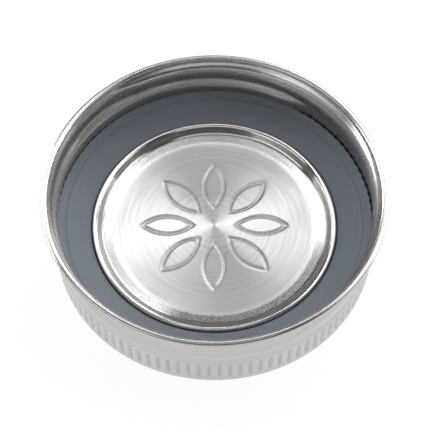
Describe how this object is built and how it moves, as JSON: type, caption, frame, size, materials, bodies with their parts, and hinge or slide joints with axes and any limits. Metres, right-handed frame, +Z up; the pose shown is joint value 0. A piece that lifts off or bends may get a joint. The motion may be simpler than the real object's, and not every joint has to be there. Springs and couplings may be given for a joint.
{
  "type": "canning jar lid",
  "caption": "Screw-on metal jar cap lying open side up, with a rolled lip, a rolled inside thread, a fluted finger band and a moulded silicone seal in its channel.",
  "frame": {"origin": "middle of the flat ring that the closed end rests on", "axes": "+Z up along the lid's axis and out of its open mouth; the picture looks from -Y and above, so +Y points away from the camera and +X to its right"},
  "size_m": [0.073, 0.073, 0.0202],
  "materials": {
    "steel": "bright rolled stainless sheet with a circular brush on the centre",
    "silicone": "matte moulded blue-grey silicone"
  },
  "bodies": {
    "root": {"lid_shell": "steel", "seal_ring": "silicone"}
  },
  "joints": []
}
